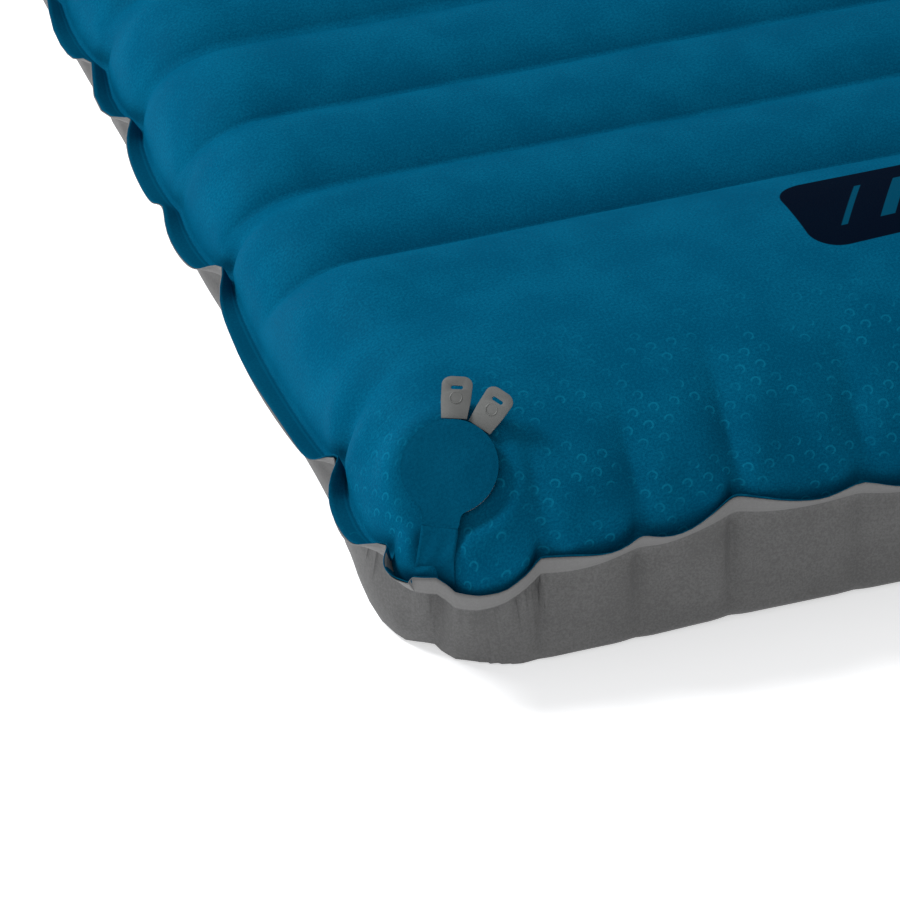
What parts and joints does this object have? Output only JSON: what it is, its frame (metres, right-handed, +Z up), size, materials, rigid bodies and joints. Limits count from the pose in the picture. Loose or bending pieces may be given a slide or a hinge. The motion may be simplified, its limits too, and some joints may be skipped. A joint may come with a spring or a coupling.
{
  "type": "camping air mattress",
  "caption": "Inflated camping air mattress with lateral tubes, raised head tube, welded edge and a flat two-stage valve at one corner.",
  "frame": {"origin": "middle of the pad's footprint, on the ground it rests on", "axes": "+Z up, +Y from the head end (with the raised head tube) to the foot end, +X across the pad; the valve is on the head end's -X corner"},
  "size_m": [0.64, 1.83, 0.11],
  "materials": {
    "top_fabric": "matte coated woven fabric, teal blue",
    "bottom_fabric": "matte coated woven fabric, dark grey",
    "baffle_film": "matte laminated film, light grey",
    "valve_plastic": "satin moulded grey plastic",
    "flap_rubber": "matte black silicone rubber",
    "cap_fabric": "matte coated woven fabric, teal blue"
  },
  "bodies": {
    "pad": {"top_sheet": "top_fabric", "bottom_sheet": "bottom_fabric", "valve_base": "valve_plastic", "strap_anchor": "cap_fabric", "baffle_web_01": "baffle_film", "baffle_web_02": "baffle_film", "baffle_web_03": "baffle_film", "baffle_web_04": "baffle_film", "baffle_web_05": "baffle_film", "baffle_web_06": "baffle_film", "baffle_web_07": "baffle_film", "baffle_web_08": "baffle_film", "baffle_web_09": "baffle_film", "baffle_web_10": "baffle_film", "baffle_web_11": "baffle_film", "baffle_web_12": "baffle_film", "baffle_web_13": "baffle_film", "baffle_web_14": "baffle_film", "baffle_web_15": "baffle_film", "baffle_web_16": "baffle_film", "baffle_web_17": "baffle_film", "baffle_web_18": "baffle_film", "baffle_web_19": "baffle_film", "baffle_web_20": "baffle_film", "baffle_web_21": "baffle_film", "baffle_web_22": "baffle_film", "baffle_web_23": "baffle_film", "baffle_web_24": "baffle_film", "baffle_web_25": "baffle_film", "baffle_web_26": "baffle_film", "baffle_web_27": "baffle_film", "baffle_web_28": "baffle_film"},
    "deflate_cap": {"deflate_cap": "valve_plastic", "flap_clamp": "valve_plastic", "strap_neck": "cap_fabric"},
    "inflate_cap": {"inflate_cap": "valve_plastic", "cap_cover": "cap_fabric"},
    "check_flap": {"check_flap": "flap_rubber"},
    "inflate_tab": {"inflate_tab": "valve_plastic"},
    "deflate_tab": {"deflate_tab": "valve_plastic"}
  },
  "joints": [
    {"name": "deflate_open", "type": "hinge", "parent": "pad", "child": "deflate_cap", "pos_m": [-0.28766, -0.8884, 0.0639], "axis": [0.8572, -0.515, 0], "range_deg": [0, 85]},
    {"name": "inflate_open", "type": "hinge", "parent": "deflate_cap", "child": "inflate_cap", "pos_m": [-0.28671, -0.88682, 0.06676], "axis": [0.8572, -0.515, 0], "range_deg": [0, 85]},
    {"name": "check_flap_open", "type": "hinge", "parent": "deflate_cap", "child": "check_flap", "pos_m": [-0.2801, -0.87582, 0.07099], "axis": [-0.8572, 0.515, 0], "range_deg": [0, 35], "stiffness_Nm_per_rad": 0.0008, "springref_deg": -5.73},
    {"name": "inflate_tab_flex", "type": "hinge", "parent": "inflate_cap", "child": "inflate_tab", "pos_m": [-0.27045, -0.85703, 0.09371], "axis": [0.8826, -0.468, 0.0448], "range_deg": [0, 60], "stiffness_Nm_per_rad": 0.004, "springref_deg": -5.73},
    {"name": "deflate_tab_flex", "type": "hinge", "parent": "deflate_cap", "child": "deflate_tab", "pos_m": [-0.26189, -0.86301, 0.09134], "axis": [0.5911, -0.7539, -0.2868], "range_deg": [0, 45], "stiffness_Nm_per_rad": 0.004, "springref_deg": -5.73}
  ]
}
